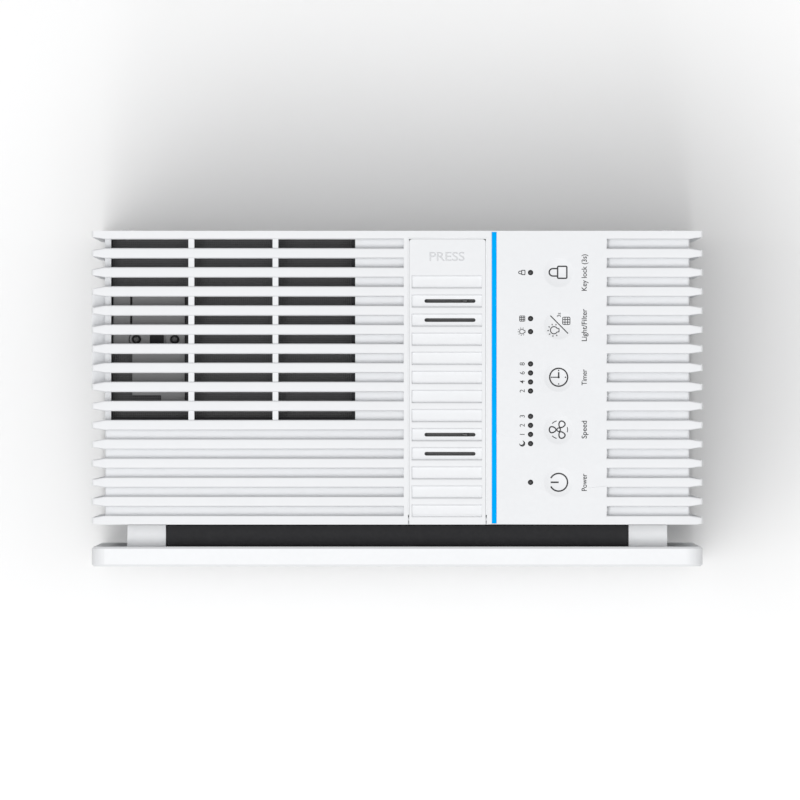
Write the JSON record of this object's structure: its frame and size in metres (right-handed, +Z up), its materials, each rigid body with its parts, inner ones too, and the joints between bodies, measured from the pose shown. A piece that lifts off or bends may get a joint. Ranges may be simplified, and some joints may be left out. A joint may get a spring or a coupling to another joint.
{
  "type": "room air purifier",
  "caption": "Box-shaped room air purifier with ribs over its top and sides, a stand-off front cover, a scent lid, dished touch keys and a light strip.",
  "frame": {"origin": "centre of the footprint, on the surface that the feet stand on", "axes": "+Z up, -Y towards the front cover, +X towards the key side"},
  "size_m": [0.352, 0.194, 0.46],
  "materials": {
    "white_shell": "fine satin moulded ABS",
    "white_base": "satin moulded ABS",
    "white_cover": "semi-gloss moulded ABS",
    "charcoal_plastic": "fine textured, matt",
    "screen_mesh": "fine woven nylon screen",
    "grey_plastic": "fine textured, matt",
    "light_bar": "diffusing, lit blue from behind",
    "smoked_lens": "smoked, polished",
    "filter_paper": "pleated glass-fibre paper in a card frame",
    "carbon": "carbon granules in a honeycomb",
    "felt": "pressed felt",
    "rubber_foot": "matt",
    "steel": "zinc plated",
    "motor_case": "satin",
    "circuit_board": "solder mask",
    "copper": "plated spring"
  },
  "bodies": {
    "housing": {"top_cover": "white_shell", "main_shell": "white_shell", "base_tray": "white_base", "base_screw_1": "steel", "base_screw_2": "steel", "base_screw_3": "steel", "base_screw_4": "steel", "foot_1": "rubber_foot", "foot_2": "rubber_foot", "foot_3": "rubber_foot", "foot_4": "rubber_foot", "rear_panel": "white_shell", "rear_screw_1": "steel", "rear_screw_2": "steel", "rear_screw_3": "steel", "rear_screw_4": "steel", "mains_inlet": "charcoal_plastic", "front_bulkhead": "charcoal_plastic", "reed_switch": "charcoal_plastic", "fan_scroll": "grey_plastic", "inlet_ring": "grey_plastic", "motor": "motor_case", "motor_bracket": "steel", "outlet_duct": "charcoal_plastic", "outlet_guard": "charcoal_plastic", "outlet_mesh": "screen_mesh", "ion_generator": "grey_plastic", "ion_screw_1": "steel", "ion_screw_2": "steel", "air_sensor": "grey_plastic", "light_strip": "light_bar", "indicator_guide": "smoked_lens", "control_board": "circuit_board", "touch_electrode_1": "copper", "touch_electrode_2": "copper", "touch_electrode_3": "copper", "touch_electrode_4": "copper", "touch_electrode_5": "copper", "lid_latch": "charcoal_plastic", "power_board": "circuit_board"},
    "cover": {"front_cover": "white_cover", "cover_magnet_1": "steel", "cover_magnet_2": "steel", "cover_magnet_3": "steel", "cover_magnet_4": "steel", "intake_grille": "charcoal_plastic"},
    "prefilter": {"prefilter": "charcoal_plastic"},
    "filter_stack": {"hepa_filter": "filter_paper", "carbon_filter": "carbon"},
    "fan": {"impeller": "grey_plastic", "fan_shaft": "steel", "impeller_nut": "steel"},
    "lid": {"aroma_lid": "white_shell"},
    "plunger": {"latch_plunger": "grey_plastic"},
    "tray": {"aroma_tray": "grey_plastic", "aroma_pad_1": "felt", "aroma_pad_2": "felt"},
    "door": {"sensor_door": "white_shell"}
  },
  "joints": [
    {"name": "cover_pull", "type": "slide", "parent": "housing", "child": "cover", "axis": [0, -1, 0], "range_m": [0, 0.15]},
    {"name": "prefilter_pull", "type": "slide", "parent": "housing", "child": "prefilter", "axis": [0, -1, 0], "range_m": [0, 0.105]},
    {"name": "filter_pull", "type": "slide", "parent": "housing", "child": "filter_stack", "axis": [0, -1, 0], "range_m": [0, 0.0675]},
    {"name": "fan_spin", "type": "hinge", "parent": "housing", "child": "fan", "pos_m": [0.01, 0.03, 0.22], "axis": [0, 1, 0], "continuous": true},
    {"name": "lid_hinge", "type": "hinge", "parent": "housing", "child": "lid", "pos_m": [0.0289, -0.0695, 0.4572], "axis": [1, 0, 0], "range_deg": [0, 80]},
    {"name": "latch_press", "type": "slide", "parent": "housing", "child": "plunger", "axis": [0, 0, -1], "range_m": [0, 0.0025], "stiffness_N_per_m": 150},
    {"name": "tray_lift", "type": "slide", "parent": "housing", "child": "tray", "axis": [0, 0, 1], "range_m": [0, 0.02]},
    {"name": "door_hinge", "type": "hinge", "parent": "housing", "child": "door", "pos_m": [-0.1743, 0.03425, 0.3952], "axis": [0, -1, 0], "range_deg": [0, 85]}
  ],
  "couplings": [
    {"joint": "prefilter_pull", "follows": "cover_pull", "ratio": 0.7},
    {"joint": "filter_pull", "follows": "cover_pull", "ratio": 0.45},
    {"joint": "tray_lift", "follows": "lid_hinge", "m_per_rad": 0.0143}
  ]
}
